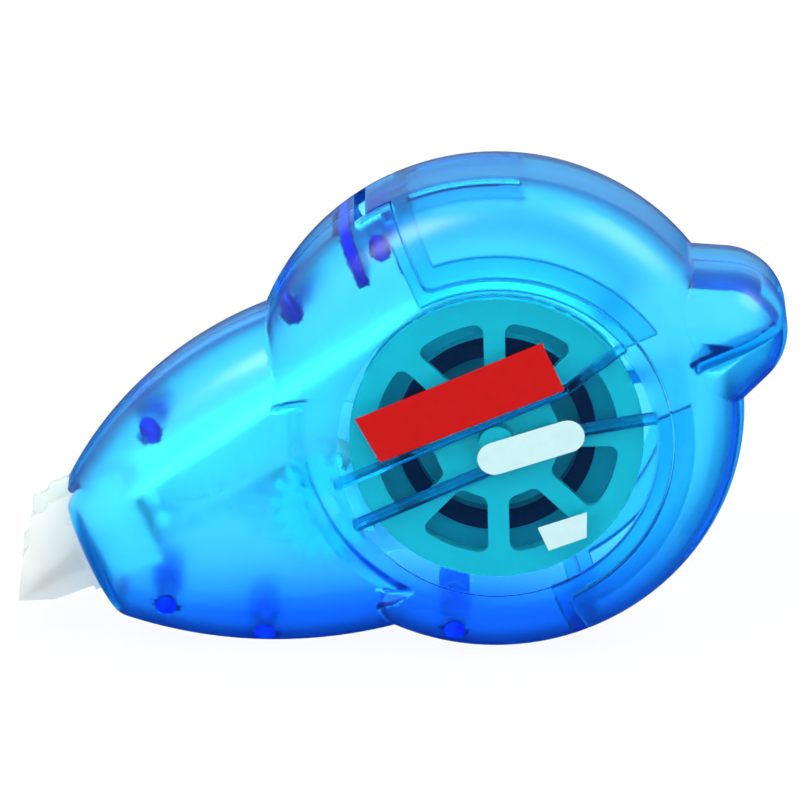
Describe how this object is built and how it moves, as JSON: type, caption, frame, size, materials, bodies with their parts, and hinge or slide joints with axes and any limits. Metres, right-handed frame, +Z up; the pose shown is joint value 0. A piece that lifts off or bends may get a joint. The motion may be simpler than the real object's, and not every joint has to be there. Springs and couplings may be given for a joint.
{
  "type": "correction tape roller",
  "caption": "Hand-held correction tape roller with a translucent case, a pull-off rear cap, a sliding refill with geared spools, and a pressing tip.",
  "frame": {"origin": "under the middle of the case, on the surface that it stands on with its bottom edge", "axes": "+Z up, +X towards the thumb lobe, +Y towards the far side; the supply spool turns about Y"},
  "size_m": [0.0975, 0.024, 0.0628],
  "materials": {
    "case_plastic": "frosted translucent blue",
    "refill_plastic": "moulded pale blue-green",
    "tip_plastic": "translucent natural",
    "wedge_plastic": "natural moulded",
    "hub_plastic": "moulded teal",
    "wheel_plastic": "moulded teal",
    "spool_plastic": "natural moulded",
    "black_rubber": "matt black rubber",
    "tape_white": "chalky white film on paper backing",
    "backing_paper": "glassine backing"
  },
  "bodies": {
    "case": {"near_shell": "case_plastic", "far_shell": "case_plastic"},
    "cap": {"rear_cap": "case_plastic"},
    "refill": {"refill_base": "refill_plastic", "tip_frame": "tip_plastic", "tip_wedge": "wedge_plastic", "supply_hub_cap": "hub_plastic", "tape_to_tip": "tape_white", "tape_from_tip": "backing_paper"},
    "supply": {"supply_gear": "wheel_plastic", "supply_spool": "spool_plastic", "clutch_ring": "black_rubber", "tape_roll": "tape_white"},
    "take_up": {"take_up_gear": "wheel_plastic", "take_up_spool": "spool_plastic", "used_tape_roll": "backing_paper"}
  },
  "joints": [
    {"name": "cap_slide", "type": "slide", "parent": "case", "child": "cap", "axis": [0.9135, 0, 0.4067], "range_m": [0, 0.15]},
    {"name": "refill_slide", "type": "slide", "parent": "case", "child": "refill", "axis": [0.9135, 0, 0.4067], "range_m": [0, 0.09]},
    {"name": "supply_spin", "type": "hinge", "parent": "refill", "child": "supply", "pos_m": [0.012, 0, 0.0292], "axis": [0, 1, 0], "continuous": true},
    {"name": "take_up_spin", "type": "hinge", "parent": "refill", "child": "take_up", "pos_m": [-0.00974, 0, 0.01952], "axis": [0, 1, 0], "continuous": true}
  ],
  "couplings": [
    {"joint": "refill_slide", "follows": "cap_slide", "ratio": 0.6},
    {"joint": "take_up_spin", "follows": "supply_spin", "ratio": -2.7778}
  ]
}
